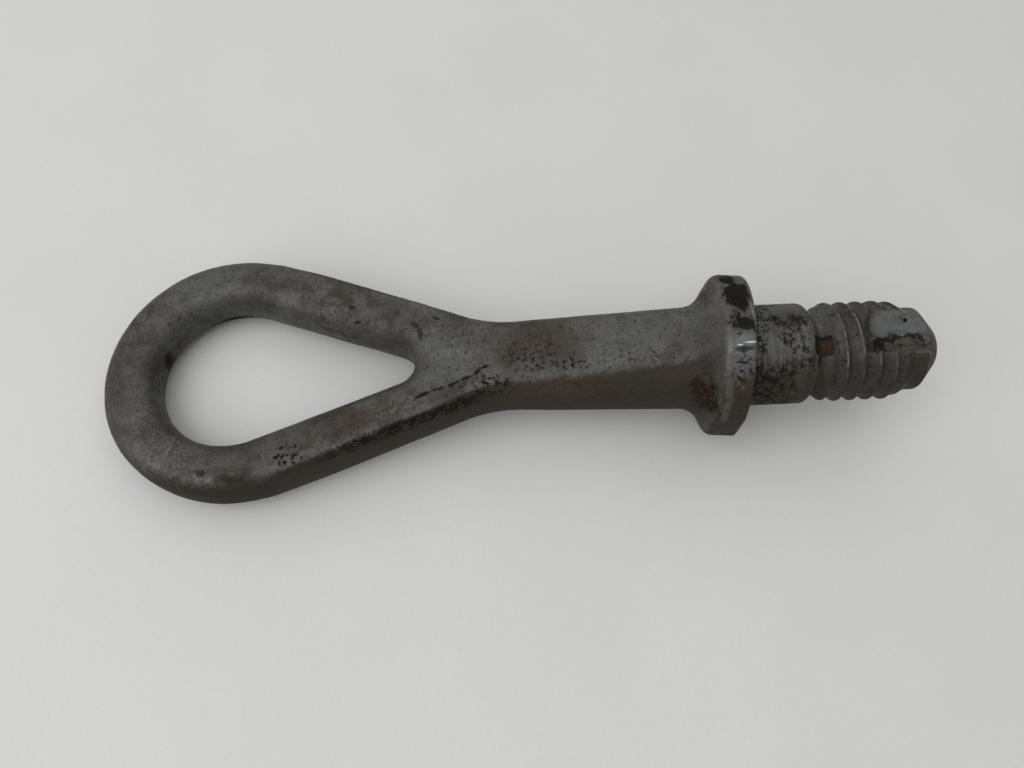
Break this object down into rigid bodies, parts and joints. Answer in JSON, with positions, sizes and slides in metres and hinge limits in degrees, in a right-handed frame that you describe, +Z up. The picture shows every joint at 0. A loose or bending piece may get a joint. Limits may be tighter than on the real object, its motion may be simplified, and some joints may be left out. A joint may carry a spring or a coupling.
{
  "type": "tow eye",
  "caption": "Screw-in tow eye: a forged teardrop loop on a waisted shank, with a collar, a plain guide and a coarse round thread with a flute along it.",
  "frame": {"origin": "middle of the underside, on the floor, with the part lying on its collar and the far end of its eye", "axes": "+X from the eye to the threaded end, +Z up; the screw axis rises 5.4 degrees toward +X"},
  "size_m": [0.1658, 0.0512, 0.0327],
  "materials": {
    "forged_steel": "dark forged steel, worn to a dull sheen, with brown rust and dark stains"
  },
  "bodies": {
    "root": {"tow_eye": "forged_steel"}
  },
  "joints": []
}
